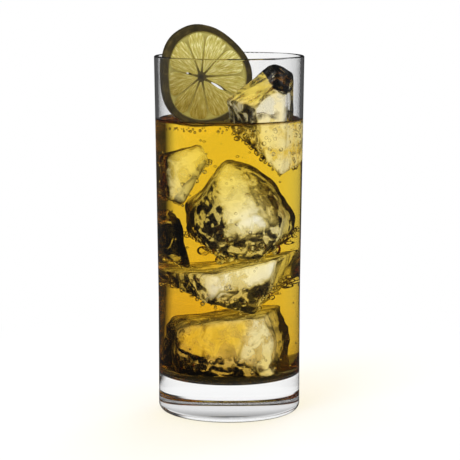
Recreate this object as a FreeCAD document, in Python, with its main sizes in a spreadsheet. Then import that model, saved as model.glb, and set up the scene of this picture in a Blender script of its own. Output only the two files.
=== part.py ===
"""A long drink: a straight-sided tumbler, the drink, a block of ice that stands out of it and a
round of citrus.

Millimetres. +Z is up and the tumbler stands on z = 0, with its axis on the Z axis. The round of
citrus stands at -X, the ice at +X, and -Y is the front. Every size is a cell of the sheet "Sizes".
"""
import FreeCAD, Part

import math
import os

import Sketcher
from FreeCAD import Vector

# The tumbler: a thick clear base, straight sides and, above the straight part, a slight flare.
TUMBLER = {
    "glass_height": 158,
    "foot_diameter": 63,
    "rim_diameter": 66,
    "flare_start": 50,
    "wall_thickness": 1.5,
    "base_thickness": 16.5,
    "foot_round": 3,
    "floor_round": 4,
    "rim_round": 0.7,
    "punt_diameter": 46,
    "punt_depth": 1.6,
}

# The drink stands this far below the rim, and clear of the wall by a film.
DRINK = {
    "rim_to_drink": 28.7,
    "drink_film": 0.1,
}

# The round of citrus: a thick disc with one flatter side, on its edge in the surface of the drink
# and pushed against the wall. It is turned about the upright and leans forward on the ice.
CITRUS = {
    "slice_diameter": 44.8,
    "slice_thickness": 5.5,
    "slice_edge_round": 0.7,
    "slice_flat_radius": 32,
    "slice_flat_depth": 3,
    "slice_flat_bearing": 50,
    "slice_turn": 22,
    "slice_lean": 3,
    "slice_dip": 1.9,
    "slice_from_wall": 19.9,
    "slice_forward": 3,
}

# Where the middle of the ice lies, and how far it and the citrus keep from each other and the wall.
ICE = {
    "ice_from_wall": 17.2,
    "ice_forward": 7,
    "ice_below_drink": 1.3,
    "ice_edge_round": 0.8,
    "piece_gap": 0.3,
    "wall_gap": 0.9,
}

# The ice is a block cut flat from several sides. A cut is given by the way that it faces (its
# bearing about the upright and its rise above the level) and by its distance from the middle.
ICE_CUTS = {
    "top": (-142, 54, 14.5),
    "crown": (-18, 71, 26),
    "cap": (-43, 52, 20.3),
    "slice_side": (112, -2, 9.6),
    "rear": (76, 0, 12.8),
    "left": (-149, -9, 9.4),
    "heel": (-172, -44, 10.6),
    "face": (-69, 3, 13.4),
    "wall_side": (-14, 0, 12.1),
    "bottom": (14, -72, 20.6),
}

# Half the size of the boxes that the cuts are made with: larger than the ice.
CUT_SPAN = 70

# How far the space that takes ice and citrus is followed above the rim.
SPACE_ABOVE_RIM = 60

# Two edges closer than this are the same edge.
NEAR = 0.01

doc = FreeCAD.newDocument("long_drink")
sheet = doc.addObject("Spreadsheet::Sheet", "Sizes")


def fill_sheet():
    """One row for each size: its name, its value, and the name again as the cell's alias."""
    rows = {**TUMBLER, **DRINK, **CITRUS, **ICE}
    for cut_name, (bearing, rise, distance) in ICE_CUTS.items():
        rows[f"{cut_name}_bearing"] = bearing
        rows[f"{cut_name}_rise"] = rise
        rows[f"{cut_name}_distance"] = distance
    for row, (name, value) in enumerate(rows.items(), start=1):
        sheet.set(f"A{row}", name)
        sheet.set(f"B{row}", str(value))
        sheet.setAlias(f"B{row}", name)
    doc.recompute()


def worth(formula):
    """The number that a formula on the sheet gives."""
    return float(sheet.evalExpression(formula))


# --- Formulas that more than one piece uses ------------------------------------------------------

FOOT_RADIUS = "Sizes.foot_diameter / 2"
RIM_RADIUS = "Sizes.rim_diameter / 2"
DRINK_LEVEL = "(Sizes.glass_height - Sizes.rim_to_drink)"
FLARE = f"(({RIM_RADIUS} - {FOOT_RADIUS}) / (Sizes.glass_height - Sizes.flare_start))"


def inside_radius(height, film):
    """Formula of the radius inside the wall at a height on the flare, less a film."""
    outside = f"{FOOT_RADIUS} + {FLARE} * ({height} - Sizes.flare_start)"
    return f"{outside} - Sizes.wall_thickness - {film}"


WALL_AT_DRINK = f"({inside_radius(DRINK_LEVEL, 0)})"
UNTURNED = "create(<<rotation>>; 0; 0; 0)"


# --- Ways of making a body -----------------------------------------------------------------------

def origin_feature(body, role):
    """The plane or axis of a body's own origin that has this role."""
    return next(item for item in body.Origin.OriginFeatures if item.Role == role)


def new_sketch(body, name):
    """An empty sketch on the body's own upright plane: x is outwards and y is up."""
    sketch = body.newObject("Sketcher::SketchObject", name)
    sketch.AttachmentSupport = [(origin_feature(body, "XZ_Plane"), "")]
    sketch.MapMode = "FlatFace"
    return sketch


def tie(sketch, kind, ends, name, formula):
    """A named dimension of the sketch that follows the sheet."""
    index = sketch.addConstraint(Sketcher.Constraint(kind, *ends, worth(formula)))
    sketch.renameConstraint(index, name)
    sketch.setExpression(f"Constraints.{name}", formula)


def turned(name, corners):
    """A body turned about the upright axis, from the corners (radius, height) of its half section."""
    body = doc.addObject("PartDesign::Body", name)
    sketch = new_sketch(body, f"{name}_half_section")
    places = [Vector(worth(radius), worth(height), 0) for radius, height in corners]
    for start, end in zip(places, places[1:] + places[:1]):
        sketch.addGeometry(Part.LineSegment(start, end), False)
    for index, (radius, height) in enumerate(corners):
        before = (index - 1) % len(corners)
        sketch.addConstraint(Sketcher.Constraint("Coincident", before, 2, index, 1))
        if radius == "0":
            sketch.addConstraint(Sketcher.Constraint("PointOnObject", index, 1, -2))
        else:
            tie(sketch, "DistanceX", (-1, 1, index, 1), f"radius_{index}", radius)
        if height == "0":
            sketch.addConstraint(Sketcher.Constraint("PointOnObject", index, 1, -1))
        else:
            tie(sketch, "DistanceY", (-1, 1, index, 1), f"height_{index}", height)
    turn = body.newObject("PartDesign::Revolution", f"{name}_turn")
    turn.Profile = sketch
    turn.ReferenceAxis = (sketch, ["V_Axis"])
    turn.Angle = 360
    doc.recompute()
    return body


def ring_edges(shape, radius, height):
    """Names of the round edges about the axis that have this radius and height."""
    names = []
    for index, edge in enumerate(shape.Edges, start=1):
        if not isinstance(edge.Curve, Part.Circle):
            continue
        if abs(edge.Curve.Radius - radius) < NEAR and abs(edge.Curve.Center.z - height) < NEAR:
            names.append(f"Edge{index}")
    return names


def round_off(body, name, edges, formula):
    """A fillet on the body's last feature, with its radius from the sheet."""
    last = body.Tip
    fillet = body.newObject("PartDesign::Fillet", name)
    fillet.Base = (last, edges)
    fillet.setExpression("Radius", formula)
    doc.recompute()


# --- The tumbler and what fills it ---------------------------------------------------------------

def make_glass():
    """The tumbler: turned in one, rounded at the foot, the floor and the rim, hollow underneath."""
    body = turned("glass", [
        ("0", "0"),
        (FOOT_RADIUS, "0"),
        (FOOT_RADIUS, "Sizes.flare_start"),
        (RIM_RADIUS, "Sizes.glass_height"),
        (f"{RIM_RADIUS} - Sizes.wall_thickness", "Sizes.glass_height"),
        (f"{FOOT_RADIUS} - Sizes.wall_thickness", "Sizes.flare_start"),
        (f"{FOOT_RADIUS} - Sizes.wall_thickness", "Sizes.base_thickness"),
        ("0", "Sizes.base_thickness"),
    ])
    foot = worth(FOOT_RADIUS)
    rim = worth(RIM_RADIUS)
    wall = worth("Sizes.wall_thickness")
    top = worth("Sizes.glass_height")
    floor = worth("Sizes.base_thickness")
    round_off(body, "foot_edge", ring_edges(body.Shape, foot, 0), "Sizes.foot_round")
    round_off(body, "floor_corner", ring_edges(body.Shape, foot - wall, floor), "Sizes.floor_round")
    rim_edges = ring_edges(body.Shape, rim, top) + ring_edges(body.Shape, rim - wall, top)
    round_off(body, "rim_edge", rim_edges, "Sizes.rim_round")
    punt = body.newObject("PartDesign::SubtractiveSphere", "punt")
    ball = "((Sizes.punt_diameter / 2) ^ 2 + Sizes.punt_depth ^ 2) / (2 * Sizes.punt_depth)"
    punt.setExpression("Radius", ball)
    punt.setExpression("Placement.Base.z", f"Sizes.punt_depth - {ball}")
    return body


def make_fill():
    """All the room below the level of the drink, a film clear of the wall."""
    film = "Sizes.drink_film"
    radius = f"{FOOT_RADIUS} - Sizes.wall_thickness - {film}"
    bottom = f"Sizes.base_thickness + {film}"
    body = turned("drink_room", [
        ("0", bottom),
        (radius, bottom),
        (radius, "Sizes.flare_start"),
        (inside_radius(DRINK_LEVEL, film), DRINK_LEVEL),
        ("0", DRINK_LEVEL),
    ])
    corner = ring_edges(body.Shape, worth(radius), worth(bottom))
    round_off(body, "drink_corner", corner, f"Sizes.floor_round - {film}")
    return body


def make_free_space():
    """The space that ice and citrus can take: inside the wall, and on above the rim."""
    gap = "Sizes.wall_gap"
    radius = f"{FOOT_RADIUS} - Sizes.wall_thickness - {gap}"
    top = f"(Sizes.glass_height + {SPACE_ABOVE_RIM})"
    return turned("free_space", [
        ("0", f"Sizes.base_thickness + {gap}"),
        (radius, f"Sizes.base_thickness + {gap}"),
        (radius, "Sizes.flare_start"),
        (inside_radius(top, gap), top),
        ("0", top),
    ])


# --- The round of citrus -------------------------------------------------------------------------

def stand_slice(item, half_depth):
    """Put a disc, made along its own +Z, where the round of citrus stands."""
    middle = (f"create(<<vector>>; Sizes.slice_from_wall - {WALL_AT_DRINK}; -Sizes.slice_forward; "
              f"{DRINK_LEVEL} - Sizes.slice_dip + Sizes.slice_diameter / 2)")
    turn = "create(<<rotation>>; Sizes.slice_turn; 0; 90 + Sizes.slice_lean)"
    back = f"create(<<vector>>; 0; 0; -({half_depth}))"
    item.setExpression("Placement", f"create(<<placement>>; {middle}; {turn})"
                                    f" * create(<<placement>>; {back}; {UNTURNED})")


def make_slice():
    """The disc: one long arc and one flatter arc, thickened evenly, with its edges eased."""
    body = doc.addObject("PartDesign::Body", "citrus_disc")
    sketch = body.newObject("Sketcher::SketchObject", "citrus_outline")
    sketch.AttachmentSupport = [(origin_feature(body, "XY_Plane"), "")]
    sketch.MapMode = "FlatFace"
    radius = worth("Sizes.slice_diameter") / 2
    flat_radius = worth("Sizes.slice_flat_radius")
    away = flat_radius - radius + worth("Sizes.slice_flat_depth")
    bearing = math.radians(worth("Sizes.slice_flat_bearing"))
    # Half the angle that the flatter arc takes out of the long one, seen from the disc's middle.
    reach = math.acos((flat_radius ** 2 - radius ** 2 - away ** 2) / (2 * radius * away))
    flat_middle = Vector(-away * math.cos(bearing), -away * math.sin(bearing), 0)
    up = Vector(0, 0, 1)
    ends = [Vector(radius * math.cos(bearing + side), radius * math.sin(bearing + side), 0)
            for side in (reach, -reach)]
    long_arc = Part.ArcOfCircle(Part.Circle(Vector(0, 0, 0), up, radius),
                                bearing + reach, bearing - reach + 2 * math.pi)
    from_flat = [math.atan2(end.y - flat_middle.y, end.x - flat_middle.x) for end in ends]
    flat_arc = Part.ArcOfCircle(Part.Circle(flat_middle, up, flat_radius), from_flat[1], from_flat[0])
    sketch.addGeometry([long_arc, flat_arc], False)
    sketch.addConstraint([
        Sketcher.Constraint("Coincident", 0, 3, -1, 1),
        Sketcher.Constraint("Coincident", 0, 2, 1, 1),
        Sketcher.Constraint("Coincident", 1, 2, 0, 1),
    ])
    middle_away = "(Sizes.slice_flat_radius - Sizes.slice_diameter / 2 + Sizes.slice_flat_depth)"
    tie(sketch, "Radius", (0,), "outline_radius", "Sizes.slice_diameter / 2")
    tie(sketch, "Radius", (1,), "flat_radius", "Sizes.slice_flat_radius")
    tie(sketch, "DistanceX", (1, 3, -1, 1), "flat_along",
        f"{middle_away} * cos(Sizes.slice_flat_bearing * 1 deg)")
    tie(sketch, "DistanceY", (1, 3, -1, 1), "flat_up",
        f"{middle_away} * sin(Sizes.slice_flat_bearing * 1 deg)")
    pad = body.newObject("PartDesign::Pad", "citrus_thickness")
    pad.Profile = sketch
    pad.setExpression("Length", "Sizes.slice_thickness")
    doc.recompute()
    rims = [f"Edge{index}" for index, edge in enumerate(body.Shape.Edges, start=1)
            if isinstance(edge.Curve, Part.Circle)]
    round_off(body, "citrus_edge", rims, "Sizes.slice_edge_round")
    stand_slice(body, "Sizes.slice_thickness / 2")
    return body


def make_slice_room():
    """The room that the ice leaves to the round of citrus: a plain disc, a gap larger all over."""
    disc = doc.addObject("Part::Cylinder", "citrus_room")
    disc.setExpression("Radius", "Sizes.slice_diameter / 2 + Sizes.piece_gap")
    disc.setExpression("Height", "Sizes.slice_thickness + 2 * Sizes.piece_gap")
    stand_slice(disc, "Sizes.slice_thickness / 2 + Sizes.piece_gap")
    return disc


# --- The ice -------------------------------------------------------------------------------------

def make_ice():
    """The block that is left inside all its cuts, with every edge rounded."""
    middle = (f"create(<<vector>>; {WALL_AT_DRINK} - Sizes.ice_from_wall; -Sizes.ice_forward; "
              f"{DRINK_LEVEL} - Sizes.ice_below_drink)")
    corner = f"create(<<vector>>; -{CUT_SPAN}; -{CUT_SPAN}; -{CUT_SPAN})"
    slabs = []
    for cut_name in ICE_CUTS:
        slab = doc.addObject("Part::Box", f"ice_{cut_name}")
        slab.Length = 2 * CUT_SPAN
        slab.Width = 2 * CUT_SPAN
        slab.setExpression("Height", f"{CUT_SPAN} + Sizes.{cut_name}_distance")
        facing = f"create(<<rotation>>; Sizes.{cut_name}_bearing; 90 - Sizes.{cut_name}_rise; 0)"
        slab.setExpression("Placement", f"create(<<placement>>; {middle}; {facing})"
                                        f" * create(<<placement>>; {corner}; {UNTURNED})")
        slabs.append(slab)
    block = doc.addObject("Part::MultiCommon", "ice_block_sharp")
    block.Shapes = slabs
    doc.recompute()
    eased = doc.addObject("Part::Fillet", "ice_block_eased")
    eased.Base = block
    easing = worth("Sizes.ice_edge_round")
    eased.Edges = [(index, easing, easing) for index in range(1, len(block.Shape.Edges) + 1)]
    doc.recompute()
    return eased


# --- The whole -----------------------------------------------------------------------------------

def common(name, first, second):
    """What two solids share."""
    item = doc.addObject("Part::Common", name)
    item.Base = first
    item.Tool = second
    return item


def without(name, base, tool):
    """The first solid less the second."""
    item = doc.addObject("Part::Cut", name)
    item.Base = base
    item.Tool = tool
    return item


def build():
    """Make every piece, each clear of its neighbours, and return the finished ones."""
    fill_sheet()
    glass = make_glass()
    fill = make_fill()
    space = make_free_space()
    citrus = common("citrus", make_slice(), space)
    citrus.Label = "citrus_slice"
    ice = without("ice", common("ice_inside", make_ice(), space), make_slice_room())
    ice.Label = "ice_block"
    drink = without("drink_body", without("drink_around_ice", fill, ice), citrus)
    drink.Label = "drink"
    doc.recompute()
    return [glass, drink, ice, citrus]


def check(pieces):
    """Stop before anything is written if an object failed or a piece is not one sound solid."""
    for item in doc.Objects:
        if "Invalid" in item.State or "Error" in item.State:
            raise RuntimeError(f"{item.Name} failed: {item.State}")
    for piece in pieces:
        if piece.Shape.isNull() or not piece.Shape.isValid():
            raise RuntimeError(f"{piece.Label} has no sound shape")
        if len(piece.Shape.Solids) != 1:
            raise RuntimeError(f"{piece.Label} is {len(piece.Shape.Solids)} solids")


def write(pieces):
    """One STEP file for each piece, named by its label."""
    os.makedirs("parts", exist_ok=True)
    for piece in pieces:
        piece.Shape.exportStep(f"parts/{piece.Label}.step")
        box = piece.Shape.BoundBox
        print(f"{piece.Label}: {piece.Shape.Volume / 1000:.1f} cm3, "
              f"x {box.XMin:.2f} {box.XMax:.2f}, y {box.YMin:.2f} {box.YMax:.2f}, "
              f"z {box.ZMin:.2f} {box.ZMax:.2f}")


finished = build()
check(finished)
write(finished)
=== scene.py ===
import math
import random

import bpy
from mathutils import Euler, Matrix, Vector, noise
from mathutils.bvhtree import BVHTree


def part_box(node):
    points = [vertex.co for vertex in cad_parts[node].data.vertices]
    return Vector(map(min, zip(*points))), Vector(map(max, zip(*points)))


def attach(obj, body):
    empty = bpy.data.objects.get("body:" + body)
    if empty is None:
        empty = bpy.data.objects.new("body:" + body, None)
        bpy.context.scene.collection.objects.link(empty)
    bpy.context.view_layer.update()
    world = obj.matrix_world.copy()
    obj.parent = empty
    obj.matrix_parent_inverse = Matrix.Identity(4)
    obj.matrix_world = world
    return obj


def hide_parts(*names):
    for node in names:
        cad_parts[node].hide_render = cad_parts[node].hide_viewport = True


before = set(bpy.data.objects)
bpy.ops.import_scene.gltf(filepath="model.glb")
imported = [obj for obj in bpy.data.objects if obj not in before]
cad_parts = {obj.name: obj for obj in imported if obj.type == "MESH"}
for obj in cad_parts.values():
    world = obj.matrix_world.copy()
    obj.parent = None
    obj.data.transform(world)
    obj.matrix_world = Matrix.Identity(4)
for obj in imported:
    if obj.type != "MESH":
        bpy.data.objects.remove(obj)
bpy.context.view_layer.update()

# A long drink: the tumbler keeps its CAD shape, and the drink, its ice and its round of citrus are
# modelled here. Metres; sizes are written in millimetres times MM.
MM = 0.001

# --- Sizes ---------------------------------------------------------------------------------------

DRINK_LOW, DRINK_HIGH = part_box("drink")
DRINK_LEVEL = DRINK_HIGH.z
# The drink reaches this far beyond its CAD solid, just into the wall and floor of the tumbler.
WALL_REACH = 0.25 * MM
INSIDE_STRAIGHT = 29.9 * MM
FLARE_START = 50 * MM
FLOOR_CORNER = 3.9 * MM
MENISCUS_RISE = 1.5 * MM
MENISCUS_REACH = 1.3 * MM
# The drink's curve at the wall runs in this many times its reach, from a lip this high.
MENISCUS_RUN = 3.2
MENISCUS_LIP = 0.2 * MM
CURVE_STEPS = 8
WALL_STEPS = 24
TURN_STEPS = 144

# Ice is cut as the CAD block is: each cut by its bearing, its rise, its distance from the middle
# and the tone of the face that it leaves.
ICE_MIDDLE = Vector((13.9 * MM, -7 * MM, DRINK_LEVEL - 1.3 * MM))
BLOCK_CUTS = {
    "top": (-142, 54, 14.5, "golden"),
    "crown": (-18, 71, 26, "black"),
    "cap": (-43, 52, 20.3, "black"),
    "slice_side": (112, -2, 9.6, "clear"),
    "rear": (76, 0, 12.8, "clear"),
    "left": (-149, -9, 9.4, "grey"),
    "heel": (-172, -44, 10.6, "black"),
    "face": (-69, 3, 13.4, "butter"),
    "wall_side": (-14, 0, 12.1, "clear"),
    "bottom": (14, -72, 20.6, "clear"),
}
CORE_MIDDLE = Vector((4.5, 0.5, 90.5)) * MM
CORE_CUTS = {
    "upper_left": (180, 30, 16.1, "misty"),
    "crown": (0, 69, 19.4, "olive"),
    "shoulder": (0, 44, 15.8, "olive"),
    "upper_right": (0, 28, 14.9, "olive"),
    "right": (0, -9, 18, "clear"),
    "lower_right": (0, -48, 19.2, "deep_shade"),
    "bottom": (0, -90, 20, "deep_shade"),
    "left": (180, -5, 17.3, "deep_shade"),
    "lower_left": (180, -47, 19.7, "deep_shade"),
    "front": (-100, 22, 24.5, "misty"),
    "band": (-88, -6, 27.6, "milky"),
    "front_chamfer": (-38, 36, 20.5, "olive"),
    "front_low": (-84, -34, 26.9, "mottled"),
    "front_left": (-146, 4, 20.5, "black"),
    "back": (84, 4, 20, "clear"),
    "back_right": (40, 20, 13, "clear"),
    "back_chamfer": (120, 30, 16.5, "clear"),
}
LOWER_MIDDLE = Vector((0, -1, 58)) * MM
LOWER_CUTS = {
    "top": (180, 79, 8.6, "misty"),
    "right": (0, -16, 15.5, "clear"),
    "lower_right": (0, -30, 14.2, "clear"),
    "bottom": (180, -70, 8.2, "deep_shade"),
    "left": (180, -31, 16.8, "deep_shade"),
    "front": (-75, 6, 26.2, "milky"),
    "front_left": (-112, 4, 27.6, "misty"),
    "front_low": (-64, -36, 20.2, "mottled"),
    "far_left": (-156, -8, 19.5, "deep_shade"),
    "back": (86, 5, 21, "clear"),
    "back_low": (110, -40, 19, "clear"),
}
BOTTOM_MIDDLE = Vector((-1, 0, 33)) * MM
BOTTOM_CUTS = {
    "top": (180, 81, 10.6, "misty"),
    "upper_right": (0, 18, 18.8, "clear"),
    "right": (0, 0, 18.8, "clear"),
    "bottom": (0, -90, 14.6, "deep_shade"),
    "left": (180, 0, 19, "deep_shade"),
    "upper_left": (180, 43, 16.6, "clear"),
    "front": (-104, 6, 24.5, "golden"),
    "front_right": (-60, -10, 26, "milky"),
    "front_low": (-100, -44, 22, "mottled"),
    "front_left": (-140, 6, 22, "golden"),
    "back": (90, 0, 23, "clear"),
    "back_left": (140, 12, 19, "clear"),
    "back_right": (42, 0, 20, "clear"),
}
UPPER_MIDDLE = Vector((-16, -4, 106)) * MM
UPPER_CUTS = {
    "top": (170, 68, 10.8, "olive"),
    "beside_core": (0, -30, 4.2, "clear"),
    "left": (180, 0, 9, "deep_shade"),
    "right": (0, 20, 10.5, "clear"),
    "front": (-100, 12, 9.5, "misty"),
    "back": (100, 0, 9.5, "clear"),
    "back_left": (140, 0, 10, "clear"),
    "bottom": (180, -72, 12, "deep_shade"),
}
SIDE_MIDDLE = Vector((-20, 3, 77)) * MM
SIDE_CUTS = {
    "top": (200, 62, 9.5, "olive"),
    "bottom": (180, -66, 8.5, "deep_shade"),
    "left": (165, 0, 7.2, "black"),
    "right": (0, 8, 4.2, "clear"),
    "front": (-105, 5, 9, "black"),
    "back": (80, 0, 9, "clear"),
    "back_left": (130, 0, 7.6, "black"),
}
# How cloudy a face of ice is, how dark and how warm. The dark is painted shade and the warm a
# painted amber glow of the drink.
TONES = {
    "clear": (0.0, 0.0, 0.0),
    "misty": (0.45, 0.0, 0.1),
    "milky": (1.0, 0.0, 0.0),
    "butter": (0.8, 0.0, 0.6),
    "golden": (0.6, 0.08, 1.0),
    "sunny": (0.75, 0.0, 0.5),
    "grey": (0.35, 0.6, 0.0),
    "olive": (0.05, 0.42, 0.4),
    "mottled": (0.15, 0.75, 0.3),
    "deep_shade": (0.0, 0.7, 0.0),
    "black": (0.0, 1.2, 0.0),
}
# The ends painted dark all over with painted shade: beyond this bearing, rise and distance from the
# piece's middle.
PAINTED_DARK_ENDS = {
    "ice_block_melting": (-20, 60, 18.2),
    "sunk_ice_bottom": (-150, -48, 17),
    "sunk_ice_core": (-165, -20, 19),
}
# The part of the block that is down in the drink is painted pale and warm, a painted glow, but for
# its dark cuts.
PAINTED_GLOW_BELOW = {"ice_block_melting": (DRINK_LEVEL - 1.0 * MM, "sunny")}
# How much of each piece's corners has melted away.
CORNERS = {"ice_block_melting": 1.0 * MM, "sunk_ice_bottom": 2.8 * MM, "sunk_ice_core": 2.0 * MM}
OTHER_CORNERS = 1.4 * MM
# How far the tone of one face runs into the next, and how much painted shade keeps the painted pale
# glow out.
TONE_BLEND = 0.7 * MM
DARK_KEEPS = 1.2
# A place belongs to 1 cut on a face and to 2 on an edge. From EDGE_FROM on it gets a painted shade
# line as an edge, fully after EDGE_SPAN more, and from BUBBLE_EDGE on bubbles gather there if it
# faces down.
EDGE_FROM = 1.25
EDGE_SPAN = 0.6
EDGE_SHADE = 0.2
BUBBLE_EDGE = 1.45
FACES_DOWN = -0.05
# How close to the wall ice can lie, and how finely it is meshed.
ICE_REACH = 29.2 * MM
ICE_GRAIN = 0.6 * MM
# The slow waves of melting ice, and the finer ones on them: how much closer and how much lower.
WAVE_WIDTH = 9 * MM
BLOCK_SWELL = 0.5 * MM
SUNK_SWELL = 0.9 * MM
FINER_WAVES = 2.7
FINER_SWELL = 0.35
# The drink's room for ice and citrus is this much smaller than they are. Round sunk ice it keeps
# this share of the ice's faces.
CAVITY_INSET = 0.08 * MM
ROOM_DETAIL = 0.55

# Bubbles keep this far from the wall, the floor, the surface, the ice and each other.
CLEAR_OF_WALL = 0.3 * MM
CLEAR_OF_FLOOR = 0.4 * MM
CLEAR_OF_SURFACE = 0.25 * MM
CLEAR_OF_ICE = 0.1 * MM
CLEAR_OF_BUBBLE = 0.08 * MM
CLINGING_GAP = 0.12 * MM
# A bubble larger than this is a finer ball. Segments and rings of the plain and the fine ball.
FINE_BUBBLE = 1.1 * MM
PLAIN_BALL = (10, 6)
FINE_BALL = (20, 12)

# The painted shade on the drink's wall, darker and warmer low down, runs up to the first height. It
# leans by the slant towards the +x side, and stays under the limit, so that the painted dark of the
# rim keeps to the rim.
PAINTED_SHADE_TOP = 140 * MM
PAINTED_SHADE_SLANT = 0.9
PAINTED_SHADE_LIMIT = 118 * MM

# The round of citrus: where it stands, and how it is built up.
WALL_AT_DRINK = DRINK_HIGH.x + 0.1 * MM
SLICE_RADIUS = 22.4 * MM
SLICE_THICKNESS = 5.5 * MM
SLICE_MIDDLE = Vector((19.9 * MM - WALL_AT_DRINK, -3 * MM, DRINK_LEVEL - 1.9 * MM + SLICE_RADIUS))
SLICE_TURN = Euler((math.radians(93), 0, math.radians(22)))
RIND_THICKNESS = 3.1 * MM
EDGE_EASE = 0.7 * MM
PITH_WIDTH = 1.2 * MM
FLESH_SINK = 0.25 * MM
FLESH_GRAIN = 0.26 * MM
# A segment: how near to the core it starts, its half gap, how square it is and its points.
SEGMENT_START = 2.2 * MM
SEGMENT_GAP = 0.33 * MM
SEGMENT_SQUARENESS = 0.56
SEGMENT_POINTS = 72
# How high the juice sacs stand, and the strands on them.
SAC_RISE = 0.3 * MM
STRAND_RISE = 0.15 * MM
# How closely the fine sacs lie, round the core and out from it.
SACS_ACROSS = 22.0
SACS_ALONG = 260.0
# Where the wall and the knife leave the round flatter: bearing, depth and half width in degrees.
SLICE_FLATS = ((50, 2.8 * MM, 62), (183, 3.4 * MM, 58))
CORE_OFFSET = Vector((-1.9, -0.8)) * MM
# Bearings of the membranes, clockwise from the top of the round.
MEMBRANES = (0, 42, 90, 122, 172, 205, 234, 280, 331)
# Gaps that have opened along a membrane: bearing, from, to and width in millimetres.
SLITS = ((122, 5.0, 13.0, 1.5), (282, 5.5, 9.0, 1.1))


# --- Ways of making a piece ----------------------------------------------------------------------

def alone(piece):
    """Select this piece and nothing else."""
    bpy.ops.object.select_all(action="DESELECT")
    piece.select_set(True)
    bpy.context.view_layer.objects.active = piece


def newest(name):
    """Name the piece that the last operator made."""
    piece = bpy.context.active_object
    piece.name = name
    piece.data.name = name
    return piece


def edit_all(piece):
    """Go into edit mode on this piece with all of it selected."""
    alone(piece)
    bpy.ops.object.mode_set(mode="EDIT")
    bpy.ops.mesh.select_mode(type="VERT")
    bpy.ops.mesh.select_all(action="SELECT")


def leave_edit():
    """Back to object mode."""
    bpy.ops.object.mode_set(mode="OBJECT")


def finish_modifier(piece, kind, **settings):
    """Add a modifier and apply it."""
    alone(piece)
    modifier = piece.modifiers.new(kind.lower(), kind)
    for name, value in settings.items():
        setattr(modifier, name, value)
    bpy.ops.object.modifier_apply(modifier=modifier.name)


def copied(piece, name):
    """A copy of a piece with its own mesh."""
    alone(piece)
    bpy.ops.object.duplicate(linked=False)
    return newest(name)


def joined(name, pieces):
    """Several pieces as one."""
    bpy.ops.object.select_all(action="DESELECT")
    for piece in pieces:
        piece.select_set(True)
    bpy.context.view_layer.objects.active = pieces[0]
    bpy.ops.object.join()
    return newest(name)


def smooth(piece):
    """Shade the whole piece smooth."""
    alone(piece)
    bpy.ops.object.shade_smooth()


def turned_piece(name, profile, closed=False):
    """A piece turned about the upright axis from the points (radius, height) of its half section."""
    bpy.ops.object.select_all(action="DESELECT")
    start = Vector((profile[0][0], 0, profile[0][1]))
    bpy.ops.mesh.primitive_plane_add(size=MM, location=start)
    piece = newest(name)
    edit_all(piece)
    bpy.ops.mesh.merge(type="CENTER")
    for before, after in zip(profile, profile[1:] + (profile[:1] if closed else [])):
        step = (after[0] - before[0], 0, after[1] - before[1])
        bpy.ops.mesh.extrude_region_move(TRANSFORM_OT_translate={"value": step})
    bpy.ops.mesh.select_all(action="SELECT")
    bpy.ops.mesh.spin(steps=TURN_STEPS, angle=2 * math.pi, center=(0, 0, 0), axis=(0, 0, 1))
    bpy.ops.mesh.select_all(action="SELECT")
    bpy.ops.mesh.remove_doubles(threshold=0.01 * MM)
    bpy.ops.mesh.normals_make_consistent(inside=False)
    leave_edit()
    place_in_mesh(piece)
    return piece


def place_in_mesh(piece):
    """Leave the object at the origin, unturned, with its place in its mesh."""
    alone(piece)
    bpy.ops.object.transform_apply(location=True, rotation=True, scale=True)


def facing(bearing, rise):
    """The direction with this bearing about the upright, in degrees, and this rise."""
    turn, lift = math.radians(bearing), math.radians(rise)
    return Vector((math.cos(lift) * math.cos(turn), math.cos(lift) * math.sin(turn), math.sin(lift)))


def cut_block(name, middle, cuts):
    """A cube cut flat from several sides, sharp."""
    bpy.ops.object.select_all(action="DESELECT")
    bpy.ops.mesh.primitive_cube_add(size=90 * MM, location=middle)
    piece = newest(name)
    place_in_mesh(piece)
    edit_all(piece)
    for bearing, rise, distance, tone in cuts.values():
        way = facing(bearing, rise)
        bpy.ops.mesh.select_all(action="SELECT")
        bpy.ops.mesh.bisect(plane_co=middle + way * distance * MM, plane_no=way,
                            use_fill=True, clear_outer=True)
    bpy.ops.mesh.select_all(action="SELECT")
    bpy.ops.mesh.normals_make_consistent(inside=False)
    leave_edit()
    return piece


def melt(piece, ease, swell, seed):
    """Round a sharp block and give its faces the slow waves of melting ice."""
    finish_modifier(piece, "BEVEL", width=ease, segments=2, limit_method="NONE")
    finish_modifier(piece, "REMESH", mode="VOXEL", voxel_size=ICE_GRAIN)
    finish_modifier(piece, "SMOOTH", factor=0.5, iterations=3)
    offset = Vector((seed * 7.3, seed * 3.1, seed * 5.7))
    outwards = [vertex.normal.copy() for vertex in piece.data.vertices]
    for vertex, way in zip(piece.data.vertices, outwards):
        place = vertex.co / WAVE_WIDTH + offset
        finer = FINER_SWELL * noise.noise(place * FINER_WAVES)
        vertex.co += way * swell * (noise.noise(place) + finer)
        reach = math.hypot(vertex.co.x, vertex.co.y)
        if reach > ICE_REACH:
            vertex.co.x *= ICE_REACH / reach
            vertex.co.y *= ICE_REACH / reach
    smooth(piece)


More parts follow.
